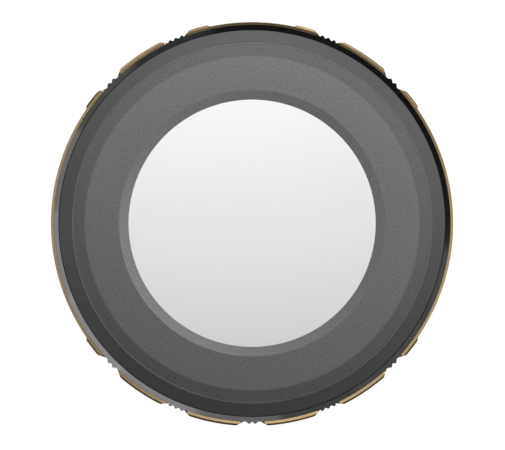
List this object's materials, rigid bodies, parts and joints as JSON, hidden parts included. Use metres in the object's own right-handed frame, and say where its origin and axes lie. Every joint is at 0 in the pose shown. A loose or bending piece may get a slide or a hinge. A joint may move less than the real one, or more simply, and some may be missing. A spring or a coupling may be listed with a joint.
{
  "type": "variable neutral-density filter",
  "caption": "Screw-in variable neutral-density lens filter: a polarizer in a fixed threaded mount and one in a grip ring that turns between stops to darken the view.",
  "frame": {"origin": "on the optical axis, at the end of the lens thread, which the filter lies on", "axes": "+Z along the optical axis, out of the front glass; +Y towards the top of the filter as it is seen from the front"},
  "size_m": [0.0494, 0.0496, 0.0096],
  "materials": {
    "black_anodised": "satin black anodised, turned",
    "black_blasted": "bead-blasted black anodised",
    "gold_anodised": "satin sand-gold anodised",
    "polarizer_glass": "polished laminate of two glass plates and a neutral film",
    "bright_steel": "ground"
  },
  "bodies": {
    "mount": {"mount_ring": "black_anodised", "rear_lock_ring": "black_anodised", "rear_polarizer": "polarizer_glass", "retaining_ring": "black_anodised"},
    "grip": {"grip_frame": "black_anodised", "grip_band": "gold_anodised", "front_bezel": "black_blasted", "front_lock_ring": "black_anodised", "front_polarizer": "polarizer_glass", "stop_pin": "bright_steel"}
  },
  "joints": [
    {"name": "density_turn", "type": "hinge", "parent": "mount", "child": "grip", "pos_m": [0, 0, 0.0046], "axis": [0, 0, 1], "range_deg": [0, 75]}
  ]
}
